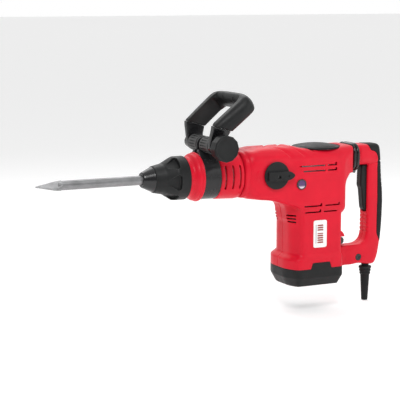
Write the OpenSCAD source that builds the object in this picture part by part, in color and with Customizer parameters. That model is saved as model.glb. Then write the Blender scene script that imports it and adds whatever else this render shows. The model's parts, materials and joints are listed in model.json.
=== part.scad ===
// Demolition hammer with a vertical motor, an SDS-max chuck and a swivelling front D-handle.
// Origin: mouth of the chuck on the tool axis. The chisel points along -X, the rear handle is at
// +X, +Z is up, and the side with the selector knob and the label faces -Y. Millimetres.

/* [Tool and chuck] */
// Diameter of the SDS-max chisel shank
shank_d = 18; // [17.9:0.05:18]
// Length of the chisel outside the chuck
chisel_out = 209; // [170:1:300]
// How far the chisel slides between seated and locked out
chisel_travel = 12; // [6:1:13]
// How far the locking sleeve pulls back
sleeve_travel = 5; // [3:0.5:5]

/* [Nose] */
// Largest radius of the locking sleeve
sleeve_r = 42; // [40:0.5:43]
// Radius of the nose ring's rear flange
flange_r = 47.5; // [46:0.5:49]
// Radius of the neck under the clamp band
neck_r = 42; // [41:0.5:42.5]
// Radius of the barrel cover where it meets the gear housing
barrel_r = 47; // [46:0.5:48]

/* [Housing] */
// Half width of the gear housing at the crank
gear_half_w = 56; // [54:0.5:58]
// Half width of the motor housing
motor_half_w = 52; // [50:0.5:53]
// Half width of the motor cap
cap_half_w = 57; // [56:0.5:60]
// Wall thickness of the plastic shells
wall = 3; // [2.5:0.1:3.5]
// Height of the face the hammer stands on, below the tool axis
base_z = -228; // [-236:1:-226]

/* [Drive] */
// Distance from the chuck mouth to the crank axis
crank_x = 381; // [378:1:384]
// Crank throw, half of the piston stroke
throw = 16; // [12:1:16]
// Bore radius of the cylinder
cylinder_r = 19; // [18:0.5:20]
// Teeth of the pinion on the armature
pinion_teeth = 12; // [12:1:12]
// Teeth of the crank gear
gear_teeth = 42; // [42:1:42]

/* [Rear handle] */
// Half width of the grip
grip_half_w = 17; // [15:0.5:19]
// Radius of the strain relief at its end
cord_guard_r = 6.25; // [5.5:0.25:7]
// Radius of the cord bore in the strain relief
cord_r = 4.5; // [3.5:0.25:5]

/* [Auxiliary handle] */
// Distance between the centre lines of the two grip arms
aux_span = 124; // [118:1:130]
// Radius of the clamping knob
knob_r = 25.5; // [22:0.5:27]

/* [Hidden] */
$fn = 64;
red = [0.82, 0.10, 0.18];
black = [0.16, 0.16, 0.17];
steel = [0.68, 0.69, 0.71];
aluminium = [0.75, 0.76, 0.77];
fit = 0.05;                          // radial clearance of a running fit
slack = 0.3;                         // clearance between faces that pass each other
shank_r = shank_d / 2;
shank_end = 96;                      // rear end of the chisel inside the chuck
module_mm = 1;                       // gear module
axis_gap = module_mm * (pinion_teeth + gear_teeth) / 2;
motor_x = crank_x - axis_gap;        // armature axis
rod_len = 80;
wrist_x = crank_x - throw - rod_len;
cap_top = -192;                      // joint between the red housing and the black cap
tab_top = -180;                      // top of the cap's side tabs
lid_z = 43.5;                        // seat of the domed lid
lid_r = 48;
nose_end = 197;                      // joint between the barrel cover and the gear housing
knob_x = 262;                        // selector knob axis
knob_y = -54;                        // face that the selector knob turns on
glass = [318, -20.7];                // sight glass centre, X and Z
pivot = [476.5, -186];               // rear handle pivot, X and Z
trigger_axis = [504, -3];            // trigger pivot, X and Z
dial_axis = [435.5, -148.8];         // speed dial, X and Z
cord_x = 503.5;                      // cord axis
band_x = [114.4, 148.8];             // clamp band, front and rear edge
aux_x = 133.5;                       // auxiliary handle pivot, X
aux_z = 62;                          // auxiliary handle pivot, Z
boot_x = [450.3, 465.7];             // bellows, front and rear face
screw_spots = [[236, 37], [236, -37], [438, 38], [330, -170], [402, -170]];
big = 400;

// ---- outline helpers ----
function unit(v) = v / norm(v);

// moves every edge of a counter-clockwise outline inwards by d; the third value is the corner radius
function inset(p, d) = let (n = len(p)) [for (i = [0:n - 1])
    let (b = [p[i].x, p[i].y], a = [p[(i + n - 1) % n].x, p[(i + n - 1) % n].y],
         c = [p[(i + 1) % n].x, p[(i + 1) % n].y], u = unit(b - a), v = unit(c - b),
         nu = [-u.y, u.x], nv = [-v.y, v.x], q = b + d * (nu + nv) / (1 + nu * nv))
    [q.x, q.y, p[i].z]];

// rounds each corner whose third value is above 0 with a quadratic blend, no longer than its edges
function rounded(p, steps = 4) = let (n = len(p)) [for (i = [0:n - 1])
    let (b = [p[i].x, p[i].y], a = [p[(i + n - 1) % n].x, p[(i + n - 1) % n].y],
         c = [p[(i + 1) % n].x, p[(i + 1) % n].y],
         r = min(p[i].z, 0.45 * norm(a - b), 0.45 * norm(c - b)),
         s = b + unit(a - b) * r, e = b + unit(c - b) * r)
    for (k = [0:(r > 0 ? steps : 0)]) let (t = k / steps)
        r > 0 ? (1 - t) * (1 - t) * s + 2 * t * (1 - t) * b + t * t * e : b];

// mirrors the right half of an outline, listed bottom to top, into a closed outline
function both_sides(half) = concat(half, [for (i = [len(half) - 1:-1:0]) [-half[i].x, half[i].y, half[i].z]]);

module side_slab(p, half) {          // outline in X and Z, extruded to both sides of Y = 0
    translate([0, half, 0]) rotate([90, 0, 0]) linear_extrude(2 * half) polygon(rounded(p));
}
module plan_slab(p, z0, z1) {        // outline in X and Y
    translate([0, 0, z0]) linear_extrude(z1 - z0) polygon(rounded(p));
}
module end_slab(p, x0, x1) {         // outline in Y and Z
    translate([x0, 0, 0]) rotate([90, 0, 90]) linear_extrude(x1 - x0) polygon(rounded(p));
}
module box(x, y, z) {
    translate([x[0], y[0], z[0]]) cube([x[1] - x[0], y[1] - y[0], z[1] - z[0]]);
}
module rod_x(r, x0, x1, r2 = -1) {
    translate([x0, 0, 0]) rotate([0, 90, 0]) cylinder(r1 = r, r2 = r2 < 0 ? r : r2, h = x1 - x0);
}
module rod_y(x, z, r, y0, y1) {
    translate([x, y1, z]) rotate([90, 0, 0]) cylinder(r = r, h = y1 - y0);
}
module rod_z(x, r, z0, z1) {
    translate([x, 0, z0]) cylinder(r = r, h = z1 - z0);
}
module turned(p) {                   // outline in X and radius, turned about the tool axis
    rotate([0, 90, 0]) rotate([0, 0, 90]) rotate_extrude() polygon([for (q = p) [q[1], q[0]]]);
}
module keep_side(s) {                // the half of space on side s of Y = 0
    translate([-big / 4, s > 0 ? 0 : -big, -big]) cube([2 * big, big, 2 * big]);
}

// helical spring along +Z: a polyhedron swept round the helix, with flat ends
module coil(r, wire, length, turns, steps = 14, sides = 6) {
    count = turns * steps;
    pts = [for (i = [0:count]) let (a = 360 * i / steps, z = wire + (length - 2 * wire) * i / count)
        for (k = [0:sides - 1]) let (b = 360 * k / sides, q = r + wire * cos(b))
            [q * cos(a), q * sin(a), z + wire * sin(b)]];
    walls = [for (i = [0:count - 1], k = [0:sides - 1]) let (j = (k + 1) % sides)
        [i * sides + k, (i + 1) * sides + k, (i + 1) * sides + j, i * sides + j]];
    ends = [[for (k = [0:sides - 1]) k], [for (k = [sides - 1:-1:0]) count * sides + k]];
    polyhedron(pts, concat(walls, ends));
}

// ---- housing outlines ----
gear_side = [[nose_end, -45.5, 0], [252, -49, 12], [318, -69, 6], [324, -96, 4], [412, -96, 4],
             [425, -77, 4], [425, -24, 8], [440, -8, 6], [450, -8, 0], [450, 48.5, 0], [415, 48, 0],
             [329, 48.5, 8], [311, 53.4, 8], [236, 52.6, 6], [224, 48.6, 6], [nose_end, 47, 0]];
gear_plan = [[nose_end, -48.5, 0], [236, -53, 8], [300, -53, 10],
             [326, -gear_half_w, 12], [412, -gear_half_w, 14], [428, -46, 8], [450, -36, 0],
             [450, 36, 0], [428, 46, 8], [412, gear_half_w, 14], [326, gear_half_w, 12],
             [300, 53, 10], [236, 53, 8], [nose_end, 48.5, 0]];
gear_end = both_sides([[34, -100, 4], [gear_half_w, -70, 12], [gear_half_w, 26, 18],
                       [32, 54, 18]]);
nose_fillet = [[290, -58, 0], [303, -71, 5], [308, -92, 0], [312, -92, 0], [312, -58, 0]];
motor_plan = [[308, -26, 14], [322, -motor_half_w, 10], [415, -motor_half_w, 12],
              [415, motor_half_w, 12], [322, motor_half_w, 10], [308, 26, 14]];
cap_plan = [[297, -28, 14], [311, -cap_half_w, 14], [418, -cap_half_w, 14],
            [418, cap_half_w, 14], [311, cap_half_w, 14], [297, 28, 14]];
bump_side = [[410, -158.6, 0], [443, -158.6, 0], [443, -138, 6], [434, -128, 6], [410, -128, 0]];
handle_side = [[424, -207, 0], [478, -199, 4], [517, -206, 7], [526.5, -186, 10], [533, -152, 16],
               [537, -112, 16], [538.5, -64, 20], [532.5, -20, 16], [530, 20, 12], [525, 47.5, 14],
               [466, 47.5, 0], [466, 4.3, 0], [497, 4.3, 2], [497, -100, 0], [496, -160, 20],
               [424, -160, 0]];
handle_plan = [[424, -grip_half_w, 0], [450, -grip_half_w, 0], [466, -30, 0], [484, -28, 10],
               [510, -20, 10], [540, -13, 5], [540, 13, 5], [510, 20, 10], [484, 28, 10],
               [466, 30, 0], [450, grip_half_w, 0], [424, grip_half_w, 0]];
handle_end = both_sides([[10, -209, 6], [grip_half_w, -200, 8], [grip_half_w, 4, 8],
                         [30, 18, 8], [30, 38, 8], [20, 48, 8]]);
pad_side = [[520, -140, 4], [530, -158, 0], [560, -158, 0], [560, 60, 0], [488, 60, 0],
            [497, 34, 3], [511, 31.5, 6], [519, 20, 8], [521, -64, 0]];

module gear_body(t) {
    intersection() {
        side_slab(inset(gear_side, t), 70);
        plan_slab(inset(gear_plan, t), -110, 60);
        end_slab(inset(gear_end, t), nose_end - 5, 455);
        union() {                    // the front end is round where it meets the barrel
            rod_x(49 - t, nose_end - 1, 238, 80 - t);
            box([237, 460], [-80, 80], [-120, 80]);
        }
    }
}
module motor_body(t) {
    plan_slab(inset(motor_plan, t), -162, -50);
    hull() {
        plan_slab(inset(motor_plan, t), -162, -161);
        plan_slab(inset(cap_plan, t), -175, -174);
    }
    plan_slab(inset(cap_plan, t), cap_top, -174);
    side_slab(inset(nose_fillet, t / 2), 26 - t);
}
module bump(t) {
    side_slab(inset(bump_side, t), 15 - t);
}
module vent(x0, x1, z, tick = 0) {   // louvre on the -Y side, with a pocket at its rear end
    box([x0, x1], [-60, -48], [z - 0.8, z + 0.8]);
    if (tick > 0) box([x1 - 2.5, x1], [-60, -48], [z - 0.8, z + tick]);
}
module side_vents() {
    vent(313, 372, 14);
    vent(377, 398, 14, 5);
    vent(322, 372, 4);
    vent(377, 398, 4, 5);
    vent(325, 365, -66, 5);
    vent(373, 406, -66, 5);
    vent(329, 364.5, -78.7, 5);
    vent(371, 401, -78.7);
}
module front_vents() {               // three short slots on each front corner of the motor housing
    for (s = [0, 1], z = [-85.5, -92, -98.5])
        mirror([0, s, 0]) translate([311.5, -29, z]) rotate([0, 0, 18]) cube([11, 22, 2.6], center = true);
}
module cap_tabs(t) {                 // the two side tabs that rise into the housing
    for (s = [0, 1]) mirror([0, s, 0])
        translate([0, -cap_half_w - 1, 0]) rotate([-90, 0, 0]) linear_extrude(wall + 8)
            polygon([[341 - t, -cap_top], [388 + t, -cap_top], [384 + t, -tab_top - t], [345 - t, -tab_top - t]]);
}
module housing_solid() {
    difference() {
        union() {
            gear_body(0);
            motor_body(0);
            bump(0);
        }
        difference() {
            union() {
                gear_body(wall);
                translate([0, 0, -0.01]) motor_body(wall);
                box([400, 440], [-12, 12], [-156.6, -132]);
            }
            // bosses for the screws that hold the two halves together
            for (s = screw_spots) rod_y(s[0], s[1], 6, -big, big);
        }
        rod_x(39.2, nose_end - 2, 214.2);                        // seat of the front barrel
        rod_z(crank_x, lid_r + slack, lid_z - slack, 60);         // crank opening under the lid
        rod_y(knob_x, 0, 6 + fit, -60, -40);                      // selector shaft
        rod_y(glass[0], glass[1], 10, -60, -51);                  // sight glass bezel
        rod_y(pivot[0], pivot[1], 4, -20, 20);
        box([427.2, 460], [-30, 4], [-157.1, -140.4]);            // window of the speed dial
        side_vents();
        mirror([0, 1, 0]) side_vents();
        front_vents();
        cap_tabs(slack);
        box([347.5, 379], [-motor_half_w - 1, -motor_half_w + 0.8], [-150.7, -94.8]); // label seat
        for (s = screw_spots) {
            rod_y(s[0], s[1], 2.5, -20, 60);
            rod_y(s[0], s[1], 5, 22, 60);
        }
    }
    difference() {                                               // lug that carries the handle
        side_slab([[412, -191.5, 0], [418.4, -191.5, 0], [418.4, -197.5, 0], [484, -194, 8],
                   [484, -176, 8], [412, -172, 0]], 9);
        rod_y(pivot[0], pivot[1], 5 + fit, -20, 20);
    }
    difference() {                                               // inner collar of the selector shaft
        rod_y(knob_x, 0, 10, -51, -44);
        rod_y(knob_x, 0, 6 + fit, -60, -40);
    }
}
module housing_left() {
    color(red) intersection() {
        housing_solid();
        keep_side(-1);
    }
}
module housing_right() {
    color(red) intersection() {
        housing_solid();
        keep_side(1);
    }
}
module housing_screws() {
    color(steel) for (s = screw_spots) {
        rod_y(s[0], s[1], 2.3, -8, 22.2);
        rod_y(s[0], s[1], 4.5, 22.2, 25);
    }
}

// ---- nose ----
module bull_point() {
    color(steel) difference() {
        union() {
            rod_x(shank_r, -chisel_out + 49, shank_end);
            rod_x(shank_r, -chisel_out + 41, -chisel_out + 49.01);
            intersection() {         // four-sided point, a little fuller than the shank
                translate([-chisel_out, 0, 0]) rotate([0, 90, 0]) rotate([0, 0, 22.5])
                    cylinder(r1 = 1.2, r2 = 12.9, h = 49, $fn = 4);
                rod_x(shank_r + 0.8, -chisel_out, -chisel_out + 49);
            }
        }
        for (s = [-1, 1]) {
            translate([0, 0, s * 10.5]) rod_x(5, 49, 67 + chisel_travel);   // locking recess
            box([62, 100], [s > 0 ? 6.6 : -12, s > 0 ? 12 : -6.6], [-2, 2]);  // drive spline
        }
    }
}
module dust_cap() {
    color(black) turned([[0, 9.8], [0, 13.5], [1.5, 15], [3, 15.6], [4, 16], [21, 24], [22, 24],
                         [22, 15], [8.2, 15], [8.2, 9.8]]);
}
module scoop(a) {                    // triangular finger recess with a flat floor, widest at the rear
    rotate([a, 0, 0]) translate([0, 0, 33]) linear_extrude(20)
        polygon(rounded([[41, -2, 0], [63, -15, 4], [67, -11, 3], [67, 11, 3], [63, 15, 4], [41, 2, 0]]));
}
module locking_sleeve() {
    color(black) difference() {
        turned([[22.4, 15.4], [22.4, 25.5], [42, 29.5], [61, 41.5], [63, sleeve_r], [85.5, sleeve_r],
                [87, 41], [87, 38.7], [76, 38.7], [72, 30], [56, 30], [50, 24], [48, 24], [48, 15.4]]);
        for (a = [36:60:336]) scoop(a);
    }
}
module nose_ring() {                 // its neck runs forward into the skirt of the sleeve
    color(red) turned([[83, 35.5], [83, 37.6], [83.6, 38.2], [95.5, 38.2], [98, 40.2], [101, 43.8],
                       [104, 45.3], [106.5, 45.6], [108, 45.4], [109, 46.8], [110, flange_r],
                       [112, flange_r], [114, 46.4], [114, 39.2], [108.2, 39.2], [108.2, 35.5]]);
}
module tool_holder() {
    color(steel) {
        difference() {
            turned([[8.4, shank_r + 0.1], [8.4, 13.6], [9.4, 14.6], [100, 14.6], [100, 19.95],
                    [148, 19.95], [148, 13.9], [112, 13.9], [112, shank_r + 0.1]]);
            for (s = [-1, 1]) box([49.6, 66.4], [-4.7, 4.7], [s > 0 ? 5 : -20, s > 0 ? 20 : -5]);
        }
        for (s = [-1, 1]) box([75, 88], [s > 0 ? 7 : -10, s > 0 ? 10 : -7], [-1.7, 1.7]); // keys
    }
}
module lock_rollers() {
    color(steel) for (s = [-1, 1]) translate([0, 0, s * 10.5]) rod_x(4.5, 50, 66);
}
module lock_ring() {
    color(steel) turned([[48.4, 15.4], [48.4, 20], [68, 20], [68, 15.4]]);
}
module sleeve_spring() {
    color(steel) translate([68.4, 0, 0]) rotate([0, 90, 0]) coil(17.4, 1.2, 31, 5);
}
module front_barrel() {
    color(aluminium) turned([[108.5, 25], [108.5, 39], [214, 39], [214, 23.2], [149.5, 23.2],
                             [149.5, 25]]);
}
module holder_bush() {
    color([0.72, 0.55, 0.3]) turned([[112, 20], [112, 24.9], [146, 24.9], [146, 20]]);
}
module impact_bolt() {
    color(steel) turned([[97, 0], [97, 8], [98, 9.05], [118, 9.05], [119, 13.85], [140, 13.85],
                         [141, 10], [145, 10], [146, 9], [146, 0]]);
}
module damping_ring() {
    color(black) turned([[214.3, 29.5], [214.3, 38.5], [220, 38.5], [220, 29.5]]);
}
module cylinder_tube() {
    color(steel) turned([[150, cylinder_r], [150, 23], [332, 23], [332, cylinder_r]]);
}
module striker() {
    r = cylinder_r - fit;
    color(steel) turned([[158, 0], [158, 8], [159, 9], [170, 9], [171, r], [184, r], [184, r - 2],
                         [187, r - 2], [187, r], [208, r], [208, 0]]);
}
module piston() {
    r = cylinder_r - fit;
    color(aluminium) difference() {
        turned([[wrist_x - 45, 0], [wrist_x - 45, r], [wrist_x - 38, r], [wrist_x - 38, r - 2],
                [wrist_x - 35, r - 2], [wrist_x - 35, r], [wrist_x + 13, r], [wrist_x + 13, 0]]);
        box([wrist_x - 11, wrist_x + 20], [-10, 10], [-7.5, 7.5]);   // slot for the rod
        rod_z(wrist_x, 5 + fit, -30, 30);
    }
}
module wrist_pin() {
    color(steel) rod_z(wrist_x, 5, -17, 17);
}
module connecting_rod() {
    color(steel) difference() {
        union() {
            rod_z(wrist_x, 9, -6.5, 6.5);
            rod_z(wrist_x + rod_len, 13, -6.5, 6.5);
            box([wrist_x, wrist_x + rod_len], [-4.5, 4.5], [-4.5, 4.5]);
        }
        rod_z(wrist_x, 5 + fit, -10, 10);
        rod_z(wrist_x + rod_len, 7.3, -10, 10);
    }
}
module barrel_cover() {
    color(red) difference() {
        turned([[114.3, 39.2], [114.3, neck_r], [149.4, neck_r], [149.4, 44.6], [151, 45.4],
                [190, barrel_r], [192, barrel_r - 0.8], [nose_end - 0.3, barrel_r - 0.8],
                [nose_end - 0.3, 39.2]]);
        for (x = [158.6, 174.3, 189], s = [-1, 1])                  // three vent slots on each side
            box([x - 1.8, x + 1.8], [s > 0 ? 30 : -60, s > 0 ? 60 : -30], [-23, 23]);
    }
}

// ---- gearbox and motor ----
module crank_case() {
    color(aluminium) difference() {
        union() {
            rod_x(29, 214.3, 340);
            rod_z(crank_x, 40, -62, 38);
            rod_z(crank_x, 35, 37, lid_z - slack);
            box([328, crank_x], [-38, 38], [-62, 38]);
        }
        difference() {
            union() {
                rod_z(crank_x, 36.5, -52, 35);
                rod_z(crank_x, 31, 30, 60);
                box([332, crank_x], [-34, 34], [-52, 35]);
            }
            rod_z(crank_x, 15, -60, -39);                        // boss of the crank bearings
        }
        rod_x(23 + 0.2, 200, 345);
        rod_z(crank_x, 12, -70, -30);
        rod_z(motor_x, 13, -70, -40);
    }
}
// involute-like spur gear: each tooth is narrower than its gap, which gives the backlash
module spur_gear(teeth, z0, z1, turn = 0) {
    rp = module_mm * teeth / 2;
    tip = rp + 0.9 * module_mm;
    root = rp - 1.25 * module_mm;
    step = 360 / teeth;
    half = step * 0.235;
    pts = [for (i = [0:teeth - 1]) let (a = i * step + turn)
        each [[root, a - half * 1.45], [rp - 0.4, a - half * 1.15], [rp + 0.2, a - half * 0.9],
              [tip, a - half * 0.45], [tip, a + half * 0.45], [rp + 0.2, a + half * 0.9],
              [rp - 0.4, a + half * 1.15], [root, a + half * 1.45]]];
    translate([0, 0, z0]) linear_extrude(z1 - z0)
        polygon([for (p = pts) p[0] * [cos(p[1]), sin(p[1])]]);
}
module crank_gear() {
    color(steel) difference() {
        translate([crank_x, 0, 0]) spur_gear(gear_teeth, -37, -27);
        rod_z(crank_x, 8, -40, -20);
    }
}
module crankshaft() {
    color(steel) {
        rod_z(crank_x, 8, -61, -27);
        rod_z(crank_x, 25, -27, -17);
        rod_z(crank_x - throw, 7, -17, -7.5);
    }
}
module crank_bearings() {
    color(steel) for (z = [-61, -48]) difference() {
        rod_z(crank_x, 12, z, z + 8);
        rod_z(crank_x, 8 + fit, z - 1, z + 9);
    }
}
module armature_shaft() {
    color(steel) {
        rod_z(motor_x, 6, -203, -40);
        rod_z(motor_x, 5, -213, -203);
        rod_z(motor_x, 4.4, -40, -38);
        translate([motor_x, 0, 0]) spur_gear(pinion_teeth, -38, -28, 180 / pinion_teeth);
    }
}
module ring_z(x, r, bore, z0, z1) {
    difference() {
        rod_z(x, r, z0, z1);
        rod_z(x, bore, z0 - 1, z1 + 1);
    }
}
module armature_core() {
    color([0.45, 0.46, 0.48]) difference() {
        ring_z(motor_x, 26, 6, -150, -96);
        for (i = [0:11]) translate([motor_x, 0, -151]) rotate([0, 0, i * 30 + 15])
            translate([21, -1, 0]) cube([8, 2, 60]);
    }
}
module commutator() {
    color([0.72, 0.45, 0.25]) difference() {
        ring_z(motor_x, 15, 6, -186, -166);
        for (i = [0:17]) translate([motor_x, 0, -187]) rotate([0, 0, i * 20])
            translate([13.6, -0.3, 0]) cube([3, 0.6, 22]);
    }
}
module cooling_fan() {
    color(black) {
        ring_z(motor_x, 10, 6, -88, -74);
        ring_z(motor_x, 36, 9.9, -88, -86);
        for (i = [0:11]) translate([motor_x, 0, -86]) rotate([0, 0, i * 30])
            translate([9.8, -0.8, 0]) cube([25, 1.6, 11]);
    }
}
module armature_bearings() {
    color(steel) {
        ring_z(motor_x, 13, 6 + fit, -61.5, -52);
        ring_z(motor_x, 11, 5 + fit, -212, -203.2);
    }
}
module stator() {
    color([0.45, 0.46, 0.48]) intersection() {
        ring_z(motor_x, 44, 27, -156, -94);
        box([motor_x - 41, motor_x + 41], [-50, 50], [-160, -90]);
    }
}
module air_baffle() {
    color(black) intersection() {
        ring_z(motor_x, 47, 30, -92.5, -90);
        box([motor_x - 42.5, motor_x + 60], [-60, 60], [-100, -80]);
    }
}
module brush_holders() {
    color([0.72, 0.6, 0.3]) for (s = [-1, 1]) difference() {
        box([motor_x - 6, motor_x + 6], s > 0 ? [17, 46] : [-46, -17], [-184, -168]);
        box([motor_x - 4, motor_x + 4], s > 0 ? [10, 43] : [-43, -10], [-182, -170]);
    }
}
module carbon_brushes() {
    color([0.2, 0.2, 0.2]) for (s = [-1, 1])
        box([motor_x - 3.8, motor_x + 3.8], s > 0 ? [15.3, 34] : [-34, -15.3], [-181.8, -170.2]);
}

// ---- pieces on the housing ----
module crank_lid() {
    dome = 10;                       // height of the crown above the rim
    ball = (pow(lid_r - 1, 2) + pow(dome - 3, 2)) / (2 * (dome - 3));
    color(black) intersection() {
        rod_z(crank_x, lid_r, lid_z, lid_z + dome);
        translate([crank_x, 0, lid_z + dome - ball]) sphere(r = ball, $fn = 160);
    }
}
module selector_knob() {
    color(black) {
        difference() {
            rod_y(knob_x, 0, 27, knob_y - 4, knob_y - 0.4);
            rod_y(knob_x, 0, 6, knob_y - 10, knob_y + 1);
        }
        difference() {                                           // raised bar with its pointer
            translate([0, knob_y - 3.9, 0]) rotate([90, 0, 0]) linear_extrude(5.6)
                polygon([[knob_x - 25, -9], [knob_x + 25, -9], [knob_x + 32, -6],
                         [knob_x + 37, -1.5], [knob_x + 37, 1.5], [knob_x + 32, 6],
                         [knob_x + 25, 9], [knob_x - 25, 9]]);
            rod_y(knob_x + 4, -2, 3.6, knob_y - 12, knob_y - 7);
            rod_y(knob_x + 23, 0, 1.6, knob_y - 12, knob_y - 7);
            rod_y(knob_x, 0, 6, knob_y - 6, knob_y + 1);
        }
    }
}
module selector_shaft() {
    color(steel) rod_y(knob_x, 0, 6, knob_y - 5.5, -42);
}
module glass_bezel() {
    color(black) difference() {
        rod_y(glass[0], glass[1], 9.9, -56.6, -51.2);
        rod_y(glass[0], glass[1], 8.1, -60, -53);
    }
}
module sight_glass() {
    color([0.25, 0.15, 0.35]) rod_y(glass[0], glass[1], 8, -56, -53);
}
module side_label() {
    color("white") box([348, 378.5], [-motor_half_w - 0.2, -motor_half_w + 0.8], [-150.2, -95.3]);
}
module cap_shell(t) {                // motor cap: straight sides over a tapered foot
    plan_slab(inset(cap_plan, t), -210, cap_top);
    hull() {
        plan_slab(inset(cap_plan, t), -210.5, -210);
        plan_slab(inset(cap_plan, 7 + t), base_z + t, base_z + t + 0.5);
    }
}
module motor_cap() {
    color(black) {
        difference() {
            union() {
                difference() {
                    cap_shell(0);
                    translate([0, 0, 0.02]) cap_shell(wall + 0.5);
                }
                rod_z(motor_x, 16, base_z + 2, -203);
            }
            rod_z(motor_x, 11, -212.2, -200);
            rod_z(motor_x, 7, -216, -211);
            for (x = [325, 392], y = [-36, 36]) translate([x, y, base_z - 1]) cylinder(r = 2.6, h = 10);
            for (y = [-14:7:14])                                  // air inlet slots
                box([386, 404], [y - 1.5, y + 1.5], [base_z - 1, base_z + 6]);
        }
        intersection() {
            cap_tabs(0);
            difference() {
                plan_slab(cap_plan, cap_top - 1, tab_top + 1);
                plan_slab(inset(cap_plan, wall), cap_top - 2, tab_top + 2);
            }
        }
    }
}
module cap_screws() {
    color(steel) for (x = [325, 392], y = [-36, 36]) translate([x, y, 0]) {
        translate([0, 0, base_z + 0.8]) cylinder(r = 2.4, h = 10);
        translate([0, 0, base_z + 3.6]) cylinder(r = 4.2, h = 2.6);
    }
}
module speed_dial() {                // thumbwheel with grooves across its rim
    color(black) difference() {
        rod_y(dial_axis[0], dial_axis[1], 7.6, -13, 3);
        rod_y(dial_axis[0], dial_axis[1], 1.6, -20, 10);
        for (i = [0:11]) translate([dial_axis[0], 0, dial_axis[1]]) rotate([0, i * 30, 0])
            translate([7, -14, -0.7]) cube([2, 18, 1.4]);
    }
}

// ---- rear handle ----
module handle_outer(t) {
    intersection() {
        side_slab(inset(handle_side, t), 40);
        plan_slab(inset(handle_plan, t), -215, 60);
        end_slab(inset(handle_end, t), 420, 550);
    }
}
module handle_solid() {
    difference() {
        handle_outer(0);
        difference() {
            handle_outer(wall);
            rod_y(516, -172, 5, -20, 20);                        // screw bosses
            rod_y(480, 34, 5, -40, 40);
        }
        box([420, 430], [-14, 14], [-203, -164]);                 // mouth over the housing lug
        side_slab(pad_side, 50);
        box([470, 515], [-9.6, 9.6], [-94, 4.4]);                 // trigger slot
        rod_y(pivot[0], pivot[1], 5 + fit, -30, 30);
        rod_y(pivot[0], pivot[1], 7, -30, -grip_half_w + 1.6);
        rod_y(pivot[0], pivot[1], 7, grip_half_w - 1.6, 30);
        rod_z(cord_x, 8, -215, -198);
        rod_y(trigger_axis[0], trigger_axis[1], 2, -30, 30);
        rod_y(516, -172, 2, -30, 30);
        rod_y(480, 34, 2, -50, 50);
    }
    for (s = [-1, 1]) difference() {                             // cheeks that carry the trigger pin
        box([499, 510], s > 0 ? [9.6, 14.5] : [-14.5, -9.6], [-10, 3]);
        rod_y(trigger_axis[0], trigger_axis[1], 2, -30, 30);
    }
}
module handle_left() {
    color(red) intersection() {
        handle_solid();
        keep_side(-1);
    }
}
module handle_right() {
    color(red) intersection() {
        handle_solid();
        keep_side(1);
    }
}
module handle_pad() {
    color(black) intersection() {
        difference() {
            handle_outer(0);
            handle_outer(wall);
        }
        side_slab(pad_side, 40);
    }
}
module trigger() {
    color(black) difference() {
        side_slab([[509, -91, 2], [509, 3.6, 2], [484.5, 3.6, 4], [483, -48, 10], [490, -84, 6],
                   [494, -91, 2]], 9.2);
        box([493, 515], [-7, 7], [-88, -14]);
        rod_y(trigger_axis[0], trigger_axis[1], 2 + fit, -30, 30);
    }
}
module trigger_pin() {
    color(steel) rod_y(trigger_axis[0], trigger_axis[1], 2, -13.9, 13.9);
}
module trigger_switch() {
    color([0.25, 0.25, 0.28]) {
        box([514.6, 529], [-9, 9], [-58, -14]);
        box([509, 514.6], [-4, 4], [-50, -40]);
    }
}
boot_end = both_sides([[20, -7.5, 10], [34, 6, 10], [34, 36, 10], [22, 49, 10]]);
module boot() {                      // bellows with two ribs
    color(black) difference() {
        union() {
            end_slab(inset(boot_end, 2.5), boot_x[0], boot_x[1]);
            for (x = [452, 459.5]) end_slab(boot_end, x, x + 4.5);
        }
        end_slab(inset(boot_end, 6), boot_x[0] - 1, boot_x[1] + 1);
    }
}
module damper_spring() {
    color(steel) translate([boot_x[0], 0, 20]) rotate([0, 90, 0]) coil(13, 1.5, boot_x[1] - boot_x[0], 3);
}
module pivot_screw() {
    color(black) {
        rod_y(pivot[0], pivot[1], 5, -15.6, 15.6);
        difference() {
            rod_y(pivot[0], pivot[1], 6.6, -grip_half_w + 0.4, -grip_half_w + 1.5);
            translate([pivot[0], -grip_half_w, pivot[1]]) rotate([90, 0, 0])
                cylinder(r = 3, h = 3, center = true, $fn = 6);
        }
        rod_y(pivot[0], pivot[1], 6.6, grip_half_w - 1.5, grip_half_w - 0.4);
    }
}
module cord_guard() {
    top = -206;
    rings = [for (k = [0:2]) each [[12.6 - k, -top + 3 + 6 * k], [13 - k, -top + 4 + 6 * k],
                                   [13 - k, -top + 7 + 6 * k], [12 - k, -top + 8 + 6 * k],
                                   [11.4 - k, -top + 8.5 + 6 * k]]];
    color(black) translate([cord_x, 0, 0]) mirror([0, 0, 1]) rotate_extrude()
        polygon(concat([[cord_r, 196.2], [9.5, 196.2], [9.5, 198.5], [7.7, 198.5], [7.7, -top + 2.6]], rings,
                       [[9.4, -top + 22], [cord_guard_r + 0.4, 278], [cord_guard_r, 280],
                        [cord_r, 280]]));
}

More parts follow.
